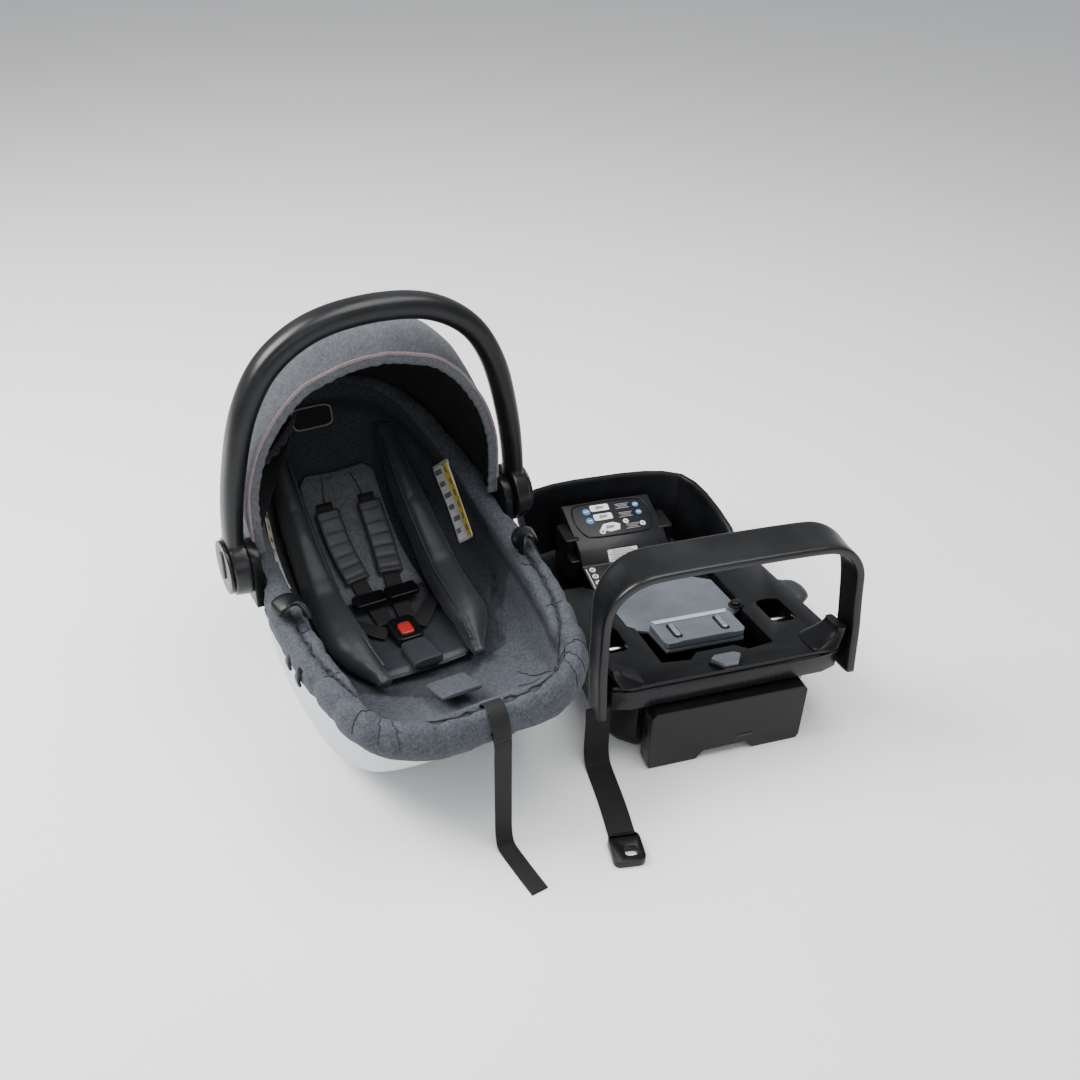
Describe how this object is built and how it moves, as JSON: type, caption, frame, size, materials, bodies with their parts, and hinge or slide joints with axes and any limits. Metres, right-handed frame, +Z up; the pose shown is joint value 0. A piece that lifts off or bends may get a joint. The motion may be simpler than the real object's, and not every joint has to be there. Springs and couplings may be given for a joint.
{
  "type": "infant car seat",
  "caption": "Rear-facing infant carrier with turning handle, folding canopy and harness, beside its vehicle base with rebound bar, lock-off door and recline foot.",
  "frame": {"origin": "on the ground, below the middle of the box around the carrier and its base without their free straps", "axes": "+Z up; the foot ends of carrier and base face -Y; the carrier stands on the -X side and the base on the +X side"},
  "size_m": [0.8932, 0.7494, 0.6361],
  "materials": {
    "black_plastic": "satin black moulded plastic",
    "handle_plastic": "satin black moulded plastic with soft highlights",
    "grey_plastic": "satin blue-grey moulded plastic",
    "shell_plastic": "light grey moulded plastic",
    "steel": "bright steel",
    "cover_fabric": "heather grey woven fabric, padded",
    "canopy_fabric": "heather grey woven fabric",
    "insert_fabric": "smooth black padded fabric",
    "pad_fabric": "grey knitted fabric",
    "webbing": "black woven webbing",
    "foam": "light energy-absorbing foam",
    "red_plastic": "red moulded plastic"
  },
  "bodies": {
    "base": {"base_tray": "black_plastic", "base_spine": "black_plastic", "base_deck": "black_plastic", "bar_socket_left": "black_plastic", "bar_socket_right": "black_plastic", "belt_plate": "grey_plastic", "latch_rod_left": "steel", "latch_rod_right": "steel", "side_lobe": "grey_plastic", "anchor_strap": "webbing", "anchor_hook": "black_plastic"},
    "carrier": {"carrier_shell": "shell_plastic", "foam_liner": "foam", "seat_cover": "cover_fabric", "hub_mount_left": "black_plastic", "hub_mount_right": "black_plastic", "canopy_rear": "canopy_fabric", "belt_guide_left": "black_plastic", "belt_guide_right": "black_plastic", "back_pad": "pad_fabric", "bolster_left": "insert_fabric", "bolster_right": "insert_fabric", "shoulder_strap_left": "webbing", "shoulder_strap_right": "webbing", "shoulder_pad_left": "insert_fabric", "shoulder_pad_right": "insert_fabric", "lap_strap_left": "webbing", "lap_strap_right": "webbing", "crotch_strap": "webbing", "buckle_housing": "black_plastic", "adjuster_strap": "webbing"},
    "recline_foot": {"recline_foot": "black_plastic"},
    "recline_button": {"recline_button": "grey_plastic"},
    "lock_off_door": {"lock_off_door": "grey_plastic", "door_hook_left": "steel", "door_hook_right": "steel"},
    "rebound_bar": {"rebound_bar": "handle_plastic"},
    "tension_tab": {"tension_tab": "black_plastic"},
    "handle": {"handle": "handle_plastic", "hub_cover_left": "handle_plastic", "hub_cover_right": "handle_plastic"},
    "handle_button_left": {"handle_button_left": "grey_plastic"},
    "handle_button_right": {"handle_button_right": "grey_plastic"},
    "canopy": {"canopy_front": "canopy_fabric", "canopy_bow": "black_plastic"},
    "chest_clip": {"chest_clip_left": "black_plastic", "chest_clip_right": "black_plastic"},
    "buckle_button": {"buckle_button": "red_plastic"},
    "adjuster_button": {"adjuster_button": "grey_plastic"},
    "adjuster_flap": {"adjuster_flap": "cover_fabric"},
    "release_lever": {"release_lever": "black_plastic"}
  },
  "joints": [
    {"name": "carrier_lift", "type": "slide", "parent": "base", "child": "carrier", "axis": [0, 0, 1], "range_m": [0, 0.3]},
    {"name": "recline_foot_slide", "type": "slide", "parent": "base", "child": "recline_foot", "axis": [0, 0, -1], "range_m": [0, 0.035]},
    {"name": "recline_button_press", "type": "slide", "parent": "base", "child": "recline_button", "axis": [0, 0, -1], "range_m": [0, 0.003], "stiffness_N_per_m": 900},
    {"name": "lock_off_lift", "type": "hinge", "parent": "base", "child": "lock_off_door", "pos_m": [0.2216, -0.15314, 0.137], "axis": [1, 0, 0], "range_deg": [0, 85]},
    {"name": "rebound_bar_slide", "type": "slide", "parent": "base", "child": "rebound_bar", "axis": [0, 0.1367, 0.9906], "range_m": [0, 0.12]},
    {"name": "tension_tab_press", "type": "slide", "parent": "base", "child": "tension_tab", "axis": [0, 0, -1], "range_m": [0, 0.003], "stiffness_N_per_m": 600},
    {"name": "handle_turn", "type": "hinge", "parent": "carrier", "child": "handle", "pos_m": [-0.2154, 0.04286, 0.287], "axis": [0.9799, 0.1994, 0], "range_deg": [-112, 65]},
    {"name": "handle_button_left_press", "type": "slide", "parent": "handle", "child": "handle_button_left", "axis": [0.9799, 0.1994, 0], "range_m": [0, 0.004], "stiffness_N_per_m": 800},
    {"name": "handle_button_right_press", "type": "slide", "parent": "handle", "child": "handle_button_right", "axis": [-0.9799, -0.1994, 0], "range_m": [0, 0.004], "stiffness_N_per_m": 800},
    {"name": "canopy_fold", "type": "hinge", "parent": "carrier", "child": "canopy", "pos_m": [-0.2154, 0.04286, 0.287], "axis": [0.9799, 0.1994, 0], "range_deg": [-48, 0]},
    {"name": "chest_clip_slide", "type": "slide", "parent": "carrier", "child": "chest_clip", "axis": [-0.1934, 0.9507, 0.2425], "range_m": [0, 0.02]},
    {"name": "buckle_button_press", "type": "slide", "parent": "carrier", "child": "buckle_button", "axis": [0, 0, -1], "range_m": [0, 0.003], "stiffness_N_per_m": 700},
    {"name": "adjuster_button_press", "type": "slide", "parent": "carrier", "child": "adjuster_button", "axis": [0, 0, -1], "range_m": [0, 0.003], "stiffness_N_per_m": 600},
    {"name": "adjuster_flap_lift", "type": "hinge", "parent": "carrier", "child": "adjuster_flap", "pos_m": [-0.17393, -0.16096, 0.162], "axis": [0.9799, 0.1994, 0], "range_deg": [-80, 0]},
    {"name": "release_lever_squeeze", "type": "slide", "parent": "carrier", "child": "release_lever", "axis": [0, 0, 1], "range_m": [0, 0.012], "stiffness_N_per_m": 500}
  ]
}
